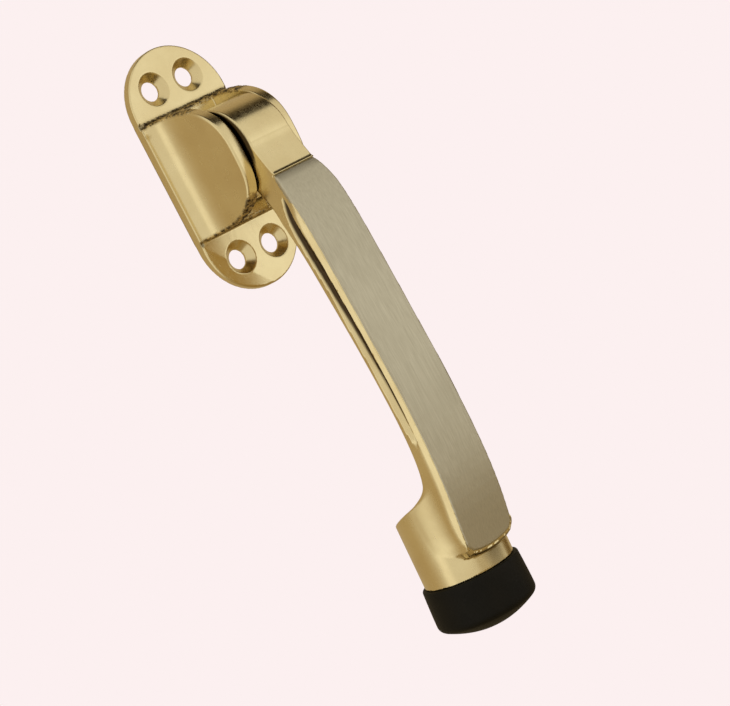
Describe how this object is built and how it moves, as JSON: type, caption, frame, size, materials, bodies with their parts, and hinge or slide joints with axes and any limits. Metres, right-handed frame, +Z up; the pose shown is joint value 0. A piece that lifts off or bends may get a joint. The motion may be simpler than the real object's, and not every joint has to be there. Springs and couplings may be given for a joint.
{
  "type": "kick-down door stop",
  "caption": "Polished brass kick-down door stop: screw plate with a clevis, a curved lever with a satin face strip hinged in it, and a domed rubber foot.",
  "frame": {"origin": "centre of the screw plate's back face, the face that lies on the door", "axes": "+Y into the door, so the lever stands off towards -Y; +Z up the door, along the plate; +X to the right, along the pivot pin"},
  "size_m": [0.0298, 0.0361, 0.1638],
  "materials": {
    "polished_brass": "cast brass, polished and lacquered",
    "brass_pin": "drawn brass rod, end polished flush",
    "bronze": "sintered bronze",
    "satin_nickel": "satin nickel, brushed along its length",
    "plain_steel": "bright zinc-plated steel",
    "spring_steel": "oiled spring steel",
    "nylon": "natural nylon",
    "black_rubber": "moulded black rubber, matte"
  },
  "bodies": {
    "base": {"base_casting": "polished_brass", "pivot_pin": "brass_pin", "thrust_washer": "nylon", "wave_washer": "spring_steel"},
    "lever": {"lever_arm": "polished_brass", "hub_bush": "bronze", "detent_ball": "plain_steel", "detent_spring": "spring_steel", "face_strip": "satin_nickel", "strip_pins": "plain_steel", "rubber_foot": "black_rubber", "foot_washer": "plain_steel", "foot_screw": "plain_steel"}
  },
  "joints": [
    {"name": "lever_pivot", "type": "hinge", "parent": "base", "child": "lever", "pos_m": [0, -0.0152, 0], "axis": [-1, 0, 0], "range_deg": [-2, 145]}
  ]
}
